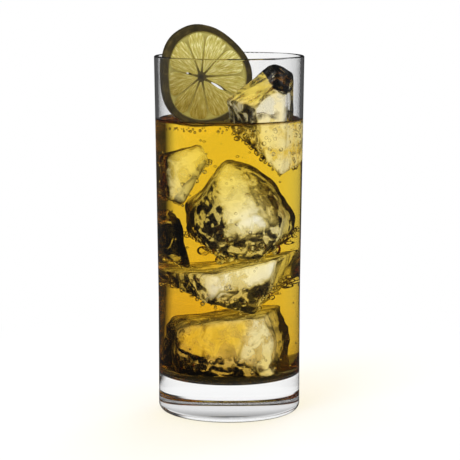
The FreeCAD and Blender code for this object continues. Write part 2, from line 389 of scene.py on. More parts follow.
def tone_faces(piece, middle, cuts):
    """Write on the ice how cloudy it is, its painted shade and its painted amber glow, and return
    its low edges.

    A low edge is where two cuts meet on the underside: there air bubbles gather.
    """
    ways = [facing(bearing, rise) for bearing, rise, distance, tone in cuts.values()]
    distances = [distance * MM for bearing, rise, distance, tone in cuts.values()]
    tones = [TONES[tone] for bearing, rise, distance, tone in cuts.values()]
    mesh = piece.data
    cloud = mesh.attributes.new("cloud", "FLOAT", "POINT")
    painted_shade = mesh.attributes.new("painted_shade", "FLOAT", "POINT")
    painted_glow = mesh.attributes.new("painted_glow", "FLOAT", "POINT")
    normals = [vertex.normal.copy() for vertex in mesh.vertices]
    low_edges = []
    for index, vertex in enumerate(mesh.vertices):
        offset = vertex.co - middle
        leads = [offset.dot(way) - distance for way, distance in zip(ways, distances)]
        most = max(leads)
        shares = [math.exp((lead - most) / TONE_BLEND) for lead in leads]
        total = sum(shares)
        mixed = [sum(share * tone[kind] for share, tone in zip(shares, tones)) / total
                 for kind in range(3)]
        # Painted shade: the dark ends are painted black all over.
        if piece.name in PAINTED_DARK_ENDS:
            bearing, rise, distance = PAINTED_DARK_ENDS[piece.name]
            beyond = offset.dot(facing(bearing, rise)) - distance * MM
            share = min(1, max(0, beyond / TONE_BLEND))
            mixed = [(1 - share) * own + share * painted_dark for own, painted_dark in zip(mixed, TONES["black"])]
        # Painted glow: the block's part down in the drink is painted pale and warm.
        if piece.name in PAINTED_GLOW_BELOW:
            height, tone = PAINTED_GLOW_BELOW[piece.name]
            share = min(1, max(0, (height - vertex.co.z) / TONE_BLEND))
            share = share * max(0, 1 - DARK_KEEPS * mixed[1])
            mixed = [(1 - share) * own + share * pale for own, pale in zip(mixed, TONES[tone])]
        cloud.data[index].value = mixed[0]
        painted_glow.data[index].value = mixed[2]
        # Painted shade: edges where two cuts meet are painted darker.
        on_edge = min(1, max(0, total - EDGE_FROM) / EDGE_SPAN)
        painted_shade.data[index].value = mixed[1] + EDGE_SHADE * on_edge
        if total > BUBBLE_EDGE and normals[index].z < FACES_DOWN:
            low_edges.append((vertex.co.copy(), normals[index]))
    return low_edges


def make_ice(name, middle, cuts, seed, swell):
    """A piece of melting ice, and the low edges under it."""
    piece = cut_block(name, middle, cuts)
    melt(piece, CORNERS.get(name, OTHER_CORNERS), swell, seed)
    return piece, tone_faces(piece, middle, cuts)


def tree_of(piece):
    """The piece's faces as a search tree."""
    mesh = piece.data
    return BVHTree.FromPolygons([v.co for v in mesh.vertices], [p.vertices for p in mesh.polygons])


# --- The drink -----------------------------------------------------------------------------------

def drink_profile():
    """Half section of the drink: floor, corner, wall and the surface that climbs the wall."""
    low = DRINK_LOW.z - WALL_REACH
    side = INSIDE_STRAIGHT + WALL_REACH
    top_side = DRINK_HIGH.x + WALL_REACH
    points = [(0, low), (side * 0.5, low)]
    for step in range(CURVE_STEPS + 1):
        turn = math.radians(90 * step / CURVE_STEPS)
        points.append((side - FLOOR_CORNER + FLOOR_CORNER * math.sin(turn),
                       low + FLOOR_CORNER - FLOOR_CORNER * math.cos(turn)))
    top = DRINK_LEVEL + MENISCUS_RISE
    rise = FLARE_START - low - FLOOR_CORNER
    points += [(side, low + FLOOR_CORNER + rise * step / CURVE_STEPS)
               for step in range(1, CURVE_STEPS + 1)]
    for step in range(1, WALL_STEPS + 1):
        share = step / WALL_STEPS
        points.append((side + (top_side - side) * share, FLARE_START + (top - FLARE_START) * share))
    points.insert(-1, (top_side, top - MENISCUS_LIP))
    for step in range(1, CURVE_STEPS + 1):
        inward = MENISCUS_REACH * MENISCUS_RUN * (step / CURVE_STEPS) ** 1.5
        points.append((top_side - inward,
                       DRINK_LEVEL + MENISCUS_RISE * math.exp(-inward / MENISCUS_REACH)))
    points += [(top_side * 0.6, DRINK_LEVEL), (0, DRINK_LEVEL)]
    return points


def room_for(filler):
    """The room that a piece of ice takes up, a little smaller than the ice so that no air shows."""
    room = copied(filler, "room")
    edit_all(room)
    bpy.ops.transform.shrink_fatten(value=-CAVITY_INSET)
    leave_edit()
    return room


def close_round(drink, filler):
    """Let the drink close all round a sunk piece of ice."""
    room = room_for(filler)
    finish_modifier(room, "DECIMATE", ratio=ROOM_DETAIL)
    edit_all(room)
    bpy.ops.mesh.flip_normals()
    leave_edit()
    return joined(drink.name, [drink, room])


def make_ball(segments, rings):
    """A ball turned inside out, because a bubble is a hollow in the drink."""
    bpy.ops.object.select_all(action="DESELECT")
    bpy.ops.mesh.primitive_uv_sphere_add(segments=segments, ring_count=rings, radius=MM)
    ball = newest("ball")
    edit_all(ball)
    bpy.ops.mesh.flip_normals()
    leave_edit()
    return ball


def bubble(ball, radius, place):
    """A copy of the ball at its own size and place."""
    piece = copied(ball, "bubble")
    piece.scale = (radius / MM, radius / MM, radius / MM)
    piece.location = place
    place_in_mesh(piece)
    return piece


def wall_inside(height):
    """Radius of the tumbler's inside at a height."""
    climb = max(0, height - FLARE_START) / (DRINK_LEVEL - FLARE_START)
    return INSIDE_STRAIGHT + (WALL_AT_DRINK - INSIDE_STRAIGHT) * climb


def is_free(place, radius, trees, taken):
    """Whether a bubble here clears the ice, the wall, the floor, the surface and other bubbles."""
    if math.hypot(place.x, place.y) + radius > wall_inside(place.z) - CLEAR_OF_WALL:
        return False
    if place.z - radius <= DRINK_LOW.z + CLEAR_OF_FLOOR:
        return False
    if place.z + radius >= DRINK_LEVEL - CLEAR_OF_SURFACE:
        return False
    for tree in trees:
        nearest, normal, index, distance = tree.find_nearest(place)
        if distance < radius + CLEAR_OF_ICE or (place - nearest).dot(normal) < 0:
            return False
    return all((place - other).length > radius + size + CLEAR_OF_BUBBLE for other, size in taken)


def clinging(chance, seats, count, sizes, trees, taken):
    """Bubbles that hang on the ice at some of these seats."""
    placed = 0
    for place, normal in chance.sample(seats, min(len(seats), count * 25)):
        radius = chance.uniform(*sizes) * MM
        middle = place + normal * (radius + CLINGING_GAP)
        if placed < count and is_free(middle, radius, trees, taken):
            taken.append((middle, radius))
            placed += 1


def floating(chance, count, sizes, trees, taken, reach=(0, 28), heights=(20, 127)):
    """Bubbles that hang free in the drink, between these reaches and heights."""
    placed = 0
    for attempt in range(count * 12):
        radius = chance.uniform(*sizes) * MM
        turn = math.radians(chance.uniform(0, 360))
        out = math.sqrt(chance.uniform(reach[0] ** 2, reach[1] ** 2)) * MM
        middle = Vector((out * math.cos(turn), out * math.sin(turn), chance.uniform(*heights) * MM))
        if placed < count and is_free(middle, radius, trees, taken):
            taken.append((middle, radius))
            placed += 1


def outer_seats(piece, low, high, least_forward=0.2, least_down=-1):
    """Places on the front of a piece of ice between two heights, or only on its overhangs."""
    return [(vertex.co.copy(), vertex.normal.copy()) for vertex in piece.data.vertices
            if low * MM < vertex.co.z < high * MM and vertex.normal.y < -least_forward
            and vertex.normal.z < -least_down]


def make_bubbles(ice, low_edges):
    """All the air in the drink: strings under the ice, a ring at the surface and loose ones."""
    chance = random.Random(11)
    trees = [tree_of(piece) for piece in ice]
    taken = []
    block, core, lower, bottom, upper, side = ice
    clinging(chance, outer_seats(core, 70, 82, least_down=0.35), 9, (1.4, 2.3), trees, taken)
    clinging(chance, outer_seats(lower, 46, 58, least_down=0.35), 9, (0.8, 1.5), trees, taken)
    strings = ((core, 70), (lower, 80), (bottom, 24), (upper, 40), (side, 40), (block, 36))
    for piece, count in strings:
        clinging(chance, low_edges[piece.name], count, (0.4, 1.1), trees, taken)
    clinging(chance, outer_seats(block, 108, 127), 60, (0.35, 1.2), trees, taken)
    clinging(chance, outer_seats(bottom, 20, 45), 30, (0.25, 0.6), trees, taken)
    clinging(chance, outer_seats(core, 76, 108), 36, (0.25, 0.7), trees, taken)
    clinging(chance, outer_seats(lower, 48, 68), 24, (0.25, 0.6), trees, taken)
    floating(chance, 120, (0.25, 0.75), trees, taken, reach=(29, 30.5), heights=(126.4, 128.7))
    floating(chance, 60, (0.2, 0.6), trees, taken)
    plain, fine = make_ball(*PLAIN_BALL), make_ball(*FINE_BALL)
    bubbles = [bubble(fine if radius > FINE_BUBBLE else plain, radius, place)
               for place, radius in taken]
    bpy.data.objects.remove(plain)
    bpy.data.objects.remove(fine)
    return bubbles


# --- The round of citrus -------------------------------------------------------------------------

def pressed(place):
    """Where a point of an even round goes: the wall and the knife leave it flatter on two sides."""
    turn = math.degrees(math.atan2(place.y, place.x))
    reach = math.hypot(place.x, place.y)
    even = reach / SLICE_RADIUS
    shift = 0
    for bearing, depth, half_width in SLICE_FLATS:
        away = abs((turn - bearing + 180) % 360 - 180) / half_width
        if away < 1:
            shift += depth * (0.5 + 0.5 * math.cos(math.pi * away)) * even
    scale = (reach - shift) / reach if reach > 0 else 1
    centre_pull = max(0, 1 - even)
    return Vector((place.x * scale + CORE_OFFSET.x * centre_pull,
                   place.y * scale + CORE_OFFSET.y * centre_pull, place.z))


def stand_slice(piece):
    """Press a piece of the flat round into its outline and stand it in the drink.

    How far out each place lies in the even round is kept on the piece for its finish.
    """
    evenly = piece.data.attributes.new("evenly", "FLOAT", "POINT")
    for index, vertex in enumerate(piece.data.vertices):
        evenly.data[index].value = math.hypot(vertex.co.x, vertex.co.y) / SLICE_RADIUS
        vertex.co = pressed(vertex.co)
    piece.location = SLICE_MIDDLE
    piece.rotation_euler = SLICE_TURN
    place_in_mesh(piece)


def make_rind():
    """The ring of peel, with its two edges eased and its pores left to the finish."""
    half = SLICE_THICKNESS / 2
    inner = SLICE_RADIUS - RIND_THICKNESS
    dip = 0.1 * MM
    points = [(inner, -half + dip), (inner + PITH_WIDTH, -half)]
    for height, first in ((-half + EDGE_EASE, -90), (half - EDGE_EASE, 0)):
        for step in range(5):
            turn = math.radians(first + 90 * step / 4)
            points.append((SLICE_RADIUS - EDGE_EASE + EDGE_EASE * math.cos(turn),
                           height + EDGE_EASE * math.sin(turn)))
    points += [(inner + PITH_WIDTH, half), (inner, half - dip)]
    rind = turned_piece("citrus_rind", points, closed=True)
    smooth(rind)
    return rind


def make_membrane():
    """The thin pale disc of pith that carries the segments."""
    half = SLICE_THICKNESS / 2
    outer = SLICE_RADIUS - RIND_THICKNESS + 0.3 * MM
    dips = ((0, 0.9), (2 * MM, 0.7), (outer - PITH_WIDTH, 0.55), (outer, 0.3))
    under = [(reach, -half + dip * MM) for reach, dip in dips]
    over = [(reach, half - dip * MM) for reach, dip in reversed(dips)]
    membrane = turned_piece("citrus_membrane", under + over)
    smooth(membrane)
    return membrane


def segment_outline(first, last):
    """Points round one segment between two bearings: a wedge with rounded corners."""
    outer = SLICE_RADIUS - RIND_THICKNESS + 0.15 * MM
    middle = math.radians(90 - (first + last) / 2)
    half = math.radians((last - first) / 2)
    places = []
    for index in range(SEGMENT_POINTS):
        turn = 2 * math.pi * (index + 0.5) / SEGMENT_POINTS
        # Out is along the wedge and side across it, round a square with soft corners.
        out = math.copysign(abs(math.cos(turn)) ** SEGMENT_SQUARENESS, math.cos(turn))
        side = math.copysign(abs(math.sin(turn)) ** SEGMENT_SQUARENESS, math.sin(turn))
        reach = SEGMENT_START + (outer - SEGMENT_START) * (out + 1) / 2
        swing = middle + side * max(0.02, half - SEGMENT_GAP / reach)
        places.append(Vector((math.cos(swing), math.sin(swing))) * reach)
    return places


def make_segment(first, last, seed):
    """One segment of flesh: a plump wedge whose two faces carry the long juice sacs."""
    bpy.ops.object.select_all(action="DESELECT")
    bpy.ops.mesh.primitive_circle_add(vertices=SEGMENT_POINTS, radius=5 * MM, fill_type="NGON")
    piece = newest("segment")
    for vertex, place in zip(piece.data.vertices, segment_outline(first, last)):
        vertex.co = Vector((place.x, place.y, -SLICE_THICKNESS / 2 + FLESH_SINK))
    edit_all(piece)
    deep = SLICE_THICKNESS - 2 * FLESH_SINK
    bpy.ops.mesh.extrude_region_move(TRANSFORM_OT_translate={"value": (0, 0, deep)})
    bpy.ops.mesh.select_all(action="SELECT")
    bpy.ops.mesh.normals_make_consistent(inside=False)
    leave_edit()
    finish_modifier(piece, "BEVEL", width=0.5 * MM, segments=3, limit_method="ANGLE")
    finish_modifier(piece, "REMESH", mode="VOXEL", voxel_size=FLESH_GRAIN)
    finish_modifier(piece, "SMOOTH", factor=0.5, iterations=3)
    for vertex in piece.data.vertices:
        reach = math.hypot(vertex.co.x, vertex.co.y)
        turn = math.atan2(vertex.co.y, vertex.co.x)
        # Juice sacs are long along the radius and narrow across it.
        across = turn * 15 * (0.6 + reach / SLICE_RADIUS)
        sacs = noise.noise(Vector((across * 1.6, reach / (3.2 * MM), seed)))
        strands = noise.noise(Vector((across * 4.2, reach / (5 * MM), seed + 9)))
        vertex.co.z += math.copysign(SAC_RISE * sacs + STRAND_RISE * strands, vertex.co.z)
    smooth(piece)
    return piece


def make_flesh():
    """All the segments, one between each pair of membranes."""
    segments = []
    for index, first in enumerate(MEMBRANES):
        last = MEMBRANES[index + 1] if index + 1 < len(MEMBRANES) else 360
        segments.append(make_segment(first, last, index * 3.7))
    return joined("citrus_flesh", segments)


def make_slit(bearing, inner, outer, width):
    """A cutter for a gap between two segments: a long lens along one membrane."""
    bpy.ops.object.select_all(action="DESELECT")
    bpy.ops.mesh.primitive_cylinder_add(vertices=24, radius=1 * MM, depth=3 * SLICE_THICKNESS)
    slit = newest("slit")
    turn = math.radians(90 - bearing)
    along = Vector((math.cos(turn), math.sin(turn), 0))
    across = Vector((-along.y, along.x, 0))
    for vertex in slit.data.vertices:
        out = (inner + outer) / 2 + vertex.co.x / MM * (outer - inner) / 2
        side = vertex.co.y / MM * width / 2 * (1 - 0.35 * abs(vertex.co.x / MM))
        vertex.co = along * out * MM + across * side * MM + Vector((0, 0, vertex.co.z))
    return slit


def make_slice_room():
    """The room that the round takes up, a little smaller than the round so that no air shows."""
    half = SLICE_THICKNESS / 2 - CAVITY_INSET
    outer = SLICE_RADIUS - CAVITY_INSET
    room = turned_piece("slice_room", [(0, -half), (outer, -half), (outer, half), (0, half)])
    stand_slice(room)
    return room


def cut_away(piece, cutter):
    """Cut one piece out of another and keep the cutter."""
    alone(piece)
    cut = piece.modifiers.new("cut", "BOOLEAN")
    cut.operation = "DIFFERENCE"
    cut.object = cutter
    bpy.ops.object.modifier_apply(modifier=cut.name)


# --- Finishes ------------------------------------------------------------------------------------

def new_material(name):
    """A material, its nodes, its shader and its output."""
    material = bpy.data.materials.new(name)
    material.use_nodes = True
    tree = material.node_tree
    return material, tree, tree.nodes["Principled BSDF"], tree.nodes["Material Output"]


def add_node(tree, kind, inputs=None, **settings):
    """A node with its settings, its plain inputs and the links into it."""
    made = tree.nodes.new(kind)
    for name, value in settings.items():
        setattr(made, name, value)
    for name, value in (inputs or {}).items():
        if isinstance(value, bpy.types.NodeSocket):
            tree.links.new(value, made.inputs[name])
        else:
            made.inputs[name].default_value = value
    return made


def settle(shader, values):
    """Set plain numbers and colours on the shader's own sockets."""
    for name, value in values.items():
        shader.inputs[name].default_value = value


def ramp(tree, factor, stops):
    """A colour ramp over (position, colour) stops."""
    made = add_node(tree, "ShaderNodeValToRGB", {"Fac": factor})
    elements = made.color_ramp.elements
    while len(elements) < len(stops):
        elements.new(0.5)
    for element, (position, colour) in zip(elements, stops):
        element.position = position
        element.color = (*colour, 1)
    return made.outputs["Color"]


def painted_edge_shade(tree, stops):
    """A colour over how far a surface turns away, used as painted shade at the edges: 0 is seen
    square on and 1 edge on.
    """
    edge = add_node(tree, "ShaderNodeLayerWeight", {"Blend": 0.5})
    return ramp(tree, edge.outputs["Facing"], stops)


def multiplied(tree, first, second):
    """One colour times another."""
    made = add_node(tree, "ShaderNodeMix", {0: 1.0, 6: first, 7: second},
                    data_type="RGBA", blend_type="MULTIPLY")
    return made.outputs[2]


def blended(tree, factor, first, second):
    """From one colour to another by a factor."""
    made = add_node(tree, "ShaderNodeMix", {0: factor, 6: first, 7: second}, data_type="RGBA")
    return made.outputs[2]


def mapped(tree, value, low, high, to_low=0.0, to_high=1.0, easing="LINEAR"):
    """A number carried from one span to another, and kept inside it."""
    made = add_node(tree, "ShaderNodeMapRange", {"Value": value, "From Min": low, "From Max": high,
                                                 "To Min": to_low, "To Max": to_high})
    made.interpolation_type = easing
    return made.outputs["Result"]


def worked(tree, operation, first, second=0.0, third=0.0, clamp=False):
    """The result of a sum."""
    made = add_node(tree, "ShaderNodeMath", {0: first, 1: second, 2: third}, operation=operation,
                    use_clamp=clamp)
    return made.outputs["Value"]


def either(tree, choice, first, second):
    """The first number where the choice is 0, and the second where it is 1."""
    made = add_node(tree, "ShaderNodeMix", {0: choice, 2: first, 3: second}, data_type="FLOAT")
    return made.outputs[0]


def kept(tree, name):
    """A number that was written on the piece."""
    return add_node(tree, "ShaderNodeAttribute", attribute_name=name).outputs["Fac"]


def flat_reach(tree, parts):
    """How far out a point lies, whatever its height."""
    flat = add_node(tree, "ShaderNodeCombineXYZ", {"X": parts.outputs["X"], "Y": parts.outputs["Y"]})
    reach = add_node(tree, "ShaderNodeVectorMath", {0: flat.outputs["Vector"]}, operation="LENGTH")
    return reach.outputs["Value"]


def lets_light_through(tree, shader, output, share=1.0):
    """Lamps and the studio shine straight through, less what each surface keeps back."""
    path = add_node(tree, "ShaderNodeLightPath")
    clear = add_node(tree, "ShaderNodeBsdfTransparent", {"Color": (share, share, share, 1)})
    lighting = worked(tree, "MAXIMUM", path.outputs["Is Shadow Ray"], path.outputs["Is Diffuse Ray"])
    mix = add_node(tree, "ShaderNodeMixShader", {0: lighting})
    tree.links.new(shader.outputs["BSDF"], mix.inputs[1])
    tree.links.new(clear.outputs["BSDF"], mix.inputs[2])
    tree.links.new(mix.outputs["Shader"], output.inputs["Surface"])


def bumped(tree, height, strength, distance):
    """The surface raised a little by a pattern."""
    made = add_node(tree, "ShaderNodeBump",
                    {"Height": height, "Strength": strength, "Distance": distance})
    return made.outputs["Normal"]


def waves(tree, scale, strength, distance):
    """A slow unevenness of a clear surface, as a bump."""
    place = add_node(tree, "ShaderNodeTexCoord")
    grain = add_node(tree, "ShaderNodeTexNoise",
                     {"Vector": place.outputs["Object"], "Scale": scale, "Detail": 2.0})
    return bumped(tree, grain.outputs["Fac"], strength, distance)


def clear_glass():
    """Polished soda glass, with a painted grey shade where it is seen edge on."""
    material, tree, shader, output = new_material("clear_glass_finish")
    settle(shader, {"Roughness": 0.0, "IOR": 1.5, "Specular IOR Level": 0.12,
                    "Transmission Weight": 1.0})
    # Painted shade: the glass is painted grey where it is seen edge on.
    painted_edge = painted_edge_shade(tree, [
        (0.0, (0.99, 0.993, 0.993)), (0.8, (0.97, 0.972, 0.972)), (0.95, (0.72, 0.71, 0.7)),
        (1.0, (0.4, 0.39, 0.38))])
    tree.links.new(painted_edge, shader.inputs["Base Color"])
    tree.links.new(waves(tree, 55.0, 0.05, 0.0004), shader.inputs["Normal"])
    lets_light_through(tree, shader, output, share=0.93)
    return material


def amber_drink():
    """Clear amber liquid: its colour is in its depth, and its wall carries painted shade, darker and
    warmer low at the -x side.

    Over the last part of its height, where it climbs the wall, its rim is painted dark, a painted
    shade.
    """
    material, tree, shader, output = new_material("amber_drink_finish")
    settle(shader, {"Roughness": 0.0, "IOR": 1.34, "Specular IOR Level": 0.12,
                    "Transmission Weight": 1.0})
    # Painted shade: the drink is painted darker where it is seen edge on.
    painted_edge = painted_edge_shade(tree, [
        (0.0, (1, 1, 1)), (0.8, (0.98, 0.97, 0.95)), (1.0, (0.45, 0.4, 0.34))])
    place = add_node(tree, "ShaderNodeTexCoord")
    parts = add_node(tree, "ShaderNodeSeparateXYZ", {0: place.outputs["Object"]})
    # Painted shade: the wall is painted darker and warmer low down and at the -x side, and dark at
    # the rim.
    slanted = worked(tree, "MULTIPLY_ADD", parts.outputs["X"], PAINTED_SHADE_SLANT, parts.outputs["Z"])
    slanted = worked(tree, "MINIMUM", slanted, PAINTED_SHADE_LIMIT)
    rim = worked(tree, "GREATER_THAN", parts.outputs["Z"], DRINK_LEVEL)
    height = mapped(tree, either(tree, rim, slanted, parts.outputs["Z"]), 0.0, PAINTED_SHADE_TOP)
    level = DRINK_LEVEL / PAINTED_SHADE_TOP
    painted_wall_shade = ramp(tree, height, [
        (0.05, (0.82, 0.56, 0.25)), (0.36, (0.93, 0.8, 0.55)), (0.7, (0.98, 0.95, 0.9)),
        (0.85, (1, 1, 1)), (level + 0.001, (1, 1, 1)), (level + 0.004, (0.16, 0.09, 0.03)),
        (1.0, (0.08, 0.05, 0.02))])
    at_wall = worked(tree, "GREATER_THAN", flat_reach(tree, parts), ICE_REACH + 0.3 * MM)
    painted_shade_at_wall = blended(tree, at_wall, (1, 1, 1, 1), painted_wall_shade)
    tree.links.new(multiplied(tree, painted_edge, painted_shade_at_wall), shader.inputs["Base Color"])
    depth = add_node(tree, "ShaderNodeVolumeAbsorption",
                     {"Color": (0.99, 0.865, 0.0, 1), "Density": 64.0})
    tree.links.new(depth.outputs["Volume"], output.inputs["Volume"])
    lets_light_through(tree, shader, output)
    return material


def wet_ice():
    """Clear ice, wet and a little wavy, with cloudy faces, faces painted dark with painted shade,
    and a painted amber glow.
    """
    material, tree, shader, output = new_material("wet_ice_finish")
    settle(shader, {"Roughness": 0.0, "IOR": 1.5, "Specular IOR Level": 0.2})
    place = add_node(tree, "ShaderNodeTexCoord").outputs["Object"]
    patches = add_node(tree, "ShaderNodeTexNoise",
                       {"Vector": place, "Scale": 150.0, "Detail": 3.0, "Distortion": 0.6})
    swirl = add_node(tree, "ShaderNodeTexNoise",
                     {"Vector": place, "Scale": 170.0, "Detail": 2.0, "Distortion": 1.0})
    cloud = kept(tree, "cloud")
    uneven = mapped(tree, patches.outputs["Fac"], 0.41, 0.57, 0.1, 1.4)
    cloudy = worked(tree, "MULTIPLY", cloud, uneven, clamp=True)
    clear_share = worked(tree, "SUBTRACT", 1.0, cloudy, clamp=True)
    tree.links.new(clear_share, shader.inputs["Transmission Weight"])
    # Painted shade: the dark tones written on the ice darken its colour.
    painted_shade = kept(tree, "painted_shade")
    broken = mapped(tree, swirl.outputs["Fac"], 0.42, 0.56, 0.3, 1.45)
    painted_dark = worked(tree, "MULTIPLY", painted_shade, broken, clamp=True)
    painted_shade_colour = ramp(tree, painted_dark, [
        (0.0, (1, 1, 1)), (0.3, (0.62, 0.56, 0.3)), (0.6, (0.1, 0.08, 0.03)),
        (0.85, (0.004, 0.003, 0.002)), (1.0, (0.0005, 0.0004, 0.0003))])
    # Painted shade: the ice is painted darker where it is seen edge on.
    painted_edge = painted_edge_shade(tree, [
        (0.0, (1, 1, 1)), (0.7, (0.97, 0.97, 0.96)), (1.0, (0.35, 0.34, 0.3))])
    # Painted glow: the warm tone paints the milky ice amber, as the drink's light would.
    milk_and_painted_glow = blended(tree, kept(tree, "painted_glow"), (0.99, 0.98, 0.95, 1), (0.95, 0.74, 0.14, 1))
    tree.links.new(multiplied(tree, multiplied(tree, painted_edge, painted_shade_colour), milk_and_painted_glow),
                   shader.inputs["Base Color"])
    tree.links.new(waves(tree, 110.0, 0.15, 0.0006), shader.inputs["Normal"])
    lets_light_through(tree, shader, output)
    return material


def in_the_round(tree):
    """Object coordinates laid in the round of citrus: x across, y up and z out of its face."""
    place = add_node(tree, "ShaderNodeTexCoord")
    laid = add_node(tree, "ShaderNodeMapping", {"Vector": place.outputs["Object"]},
                    vector_type="TEXTURE")
    laid.inputs["Location"].default_value = SLICE_MIDDLE
    laid.inputs["Rotation"].default_value = SLICE_TURN
    return laid.outputs["Vector"]


def round_bearing(tree, vector):
    """The angle, the reach and the parts of a point in the round, measured from its core."""
    off_core = add_node(tree, "ShaderNodeVectorMath", {0: vector}, operation="SUBTRACT")
    off_core.inputs[1].default_value = (CORE_OFFSET.x, CORE_OFFSET.y, 0)
    parts = add_node(tree, "ShaderNodeSeparateXYZ", {0: off_core.outputs["Vector"]})
    turn = worked(tree, "ARCTAN2", parts.outputs["Y"], parts.outputs["X"])
    return turn, flat_reach(tree, parts), parts


def citrus_flesh():
    """Moist yellow flesh with fine sacs that run out from the core, and painted shade that makes it
    darker low down.
    """
    material, tree, shader, output = new_material("citrus_flesh_finish")
    vector = in_the_round(tree)
    turn, reach, parts = round_bearing(tree, vector)
    across = worked(tree, "MULTIPLY", turn, SACS_ACROSS)
    along = worked(tree, "MULTIPLY", reach, SACS_ALONG)
    sac_place = add_node(tree, "ShaderNodeCombineXYZ", {"X": across, "Y": along})
    sacs = add_node(tree, "ShaderNodeTexNoise",
                    {"Vector": sac_place.outputs["Vector"], "Scale": 1.0, "Detail": 5.0,
                     "Roughness": 0.6})
    colour = ramp(tree, sacs.outputs["Fac"], [
        (0.32, (0.36, 0.28, 0.04)), (0.5, (0.57, 0.5, 0.13)), (0.66, (0.84, 0.79, 0.42))])
    # Painted shade: the flesh is painted darker low down and to one side.
    side = worked(tree, "MULTIPLY_ADD", parts.outputs["X"], 0.45, parts.outputs["Y"])
    painted_shade = ramp(tree, mapped(tree, side, -0.018, 0.014), [
        (0.0, (0.56, 0.47, 0.22)), (0.5, (0.82, 0.76, 0.58)), (1.0, (1, 1, 1))])
    tree.links.new(multiplied(tree, colour, painted_shade), shader.inputs["Base Color"])
    settle(shader, {"Roughness": 0.3, "Specular IOR Level": 0.3, "Subsurface Weight": 0.25,
                    "Subsurface Radius": (0.003, 0.002, 0.0008), "Subsurface Scale": 1.0})
    tree.links.new(bumped(tree, sacs.outputs["Fac"], 0.5, 0.0004), shader.inputs["Normal"])
    return material


def citrus_membrane():
    """The skin between the segments: olive, paler at the peel and dark at the core."""
    material, tree, shader, output = new_material("citrus_membrane_finish")
    vector = in_the_round(tree)
    grain = add_node(tree, "ShaderNodeTexNoise", {"Vector": vector, "Scale": 900.0, "Detail": 3.0})
    both = worked(tree, "MULTIPLY_ADD", grain.outputs["Fac"], 0.1, kept(tree, "evenly"))
    colour = ramp(tree, both, [
        (0.08, (0.035, 0.028, 0.015)), (0.18, (0.12, 0.09, 0.02)), (0.35, (0.3, 0.24, 0.05)),
        (0.8, (0.36, 0.3, 0.07)), (0.92, (0.5, 0.44, 0.12))])
    tree.links.new(colour, shader.inputs["Base Color"])
    settle(shader, {"Roughness": 0.5, "Specular IOR Level": 0.25})
    return material


def citrus_rind():
    """Dark olive peel with pores, and a thin paler line of pith inside it."""
    material, tree, shader, output = new_material("citrus_rind_finish")
    vector = in_the_round(tree)
    pores = add_node(tree, "ShaderNodeTexVoronoi", {"Vector": vector, "Scale": 900.0})
    tone = add_node(tree, "ShaderNodeTexNoise", {"Vector": vector, "Scale": 220.0, "Detail": 4.0})
    peel = ramp(tree, tone.outputs["Fac"], [
        (0.3, (0.03, 0.023, 0.008)), (0.55, (0.055, 0.041, 0.012)), (0.75, (0.11, 0.08, 0.022))])
    pith = ramp(tree, kept(tree, "evenly"), [
        (0.862, (1, 1, 1)), (0.874, (0.5, 0.5, 0.5)), (0.888, (0, 0, 0))])
    tree.links.new(blended(tree, pith, peel, (0.36, 0.3, 0.07, 1)), shader.inputs["Base Color"])
    settle(shader, {"Roughness": 0.5, "Specular IOR Level": 0.2})
    tree.links.new(bumped(tree, pores.outputs["Distance"], 0.5, 0.0003), shader.inputs["Normal"])
    return material


def finish_with(piece, material):
    """Give the whole piece one material."""
    piece.data.materials.clear()
    piece.data.materials.append(material)


# --- Make the drink and what is in it ------------------------------------------------------------

glass_finish = clear_glass()
drink_finish = amber_drink()
ice_finish = wet_ice()

finish_with(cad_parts["glass"], glass_finish)

low_edges = {}
block, low_edges["ice_block_melting"] = make_ice("ice_block_melting", ICE_MIDDLE, BLOCK_CUTS, 1,
                                                 BLOCK_SWELL)
sunk = []
for seed, (name, middle, cuts) in enumerate((
        ("sunk_ice_core", CORE_MIDDLE, CORE_CUTS),
        ("sunk_ice_lower", LOWER_MIDDLE, LOWER_CUTS),
        ("sunk_ice_bottom", BOTTOM_MIDDLE, BOTTOM_CUTS),
        ("sunk_ice_upper", UPPER_MIDDLE, UPPER_CUTS),
        ("sunk_ice_side", SIDE_MIDDLE, SIDE_CUTS)), start=2):
    piece, low_edges[name] = make_ice(name, middle, cuts, seed, SUNK_SWELL)
    sunk.append(piece)

rind = make_rind()
membrane = make_membrane()
flesh = make_flesh()
for bearing, inner, outer, width in SLITS:
    slit = make_slit(bearing, inner, outer, width)
    cut_away(membrane, slit)
    cut_away(flesh, slit)
    bpy.data.objects.remove(slit)
for part in (rind, membrane, flesh):
    stand_slice(part)
finish_with(rind, citrus_rind())
finish_with(membrane, citrus_membrane())
finish_with(flesh, citrus_flesh())

drink = turned_piece("drink_amber", drink_profile())
for room in (make_slice_room(), room_for(block)):
    cut_away(drink, room)
    bpy.data.objects.remove(room)
for piece in sunk:
    drink = close_round(drink, piece)
drink = joined("drink_amber", [drink, *make_bubbles([block, *sunk], low_edges)])
smooth(drink)
finish_with(drink, drink_finish)
for piece in [block, *sunk]:
    finish_with(piece, ice_finish)

# --- What each piece stands for ------------------------------------------------------------------

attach(drink, "root")
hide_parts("drink")
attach(block, "root")
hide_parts("ice_block")
for piece in sunk:
    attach(piece, "root")
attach(rind, "root")
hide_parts("citrus_slice")
for piece in (membrane, flesh):
    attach(piece, "root")


# --- Floor, light and camera ---------------------------------------------------------------------

# How bright the studio is: as light on the object, as a reflection on its outside, as a mirrored
# view after more than the base, and as the floor and the studio mirrored inside the base or wall.
AMBIENT = 0.95
REFLECTED = 0.04
MIRRORED = 0.02
FLOOR_IN_GLASS = 0.1
STUDIO_IN_GLASS = 0.8
# The view through the drink dims to this far above and below, and the dark cards take away this.
DIM = 0.2
CARD_DEPTH = 0.96
# A ray through the base alone goes through 2 surfaces, and one through the dry glass above the
# drink through 4. One that has gone through more has been in the drink.
BASE_SURFACES = 2.5
DRY_SURFACES = 4.5
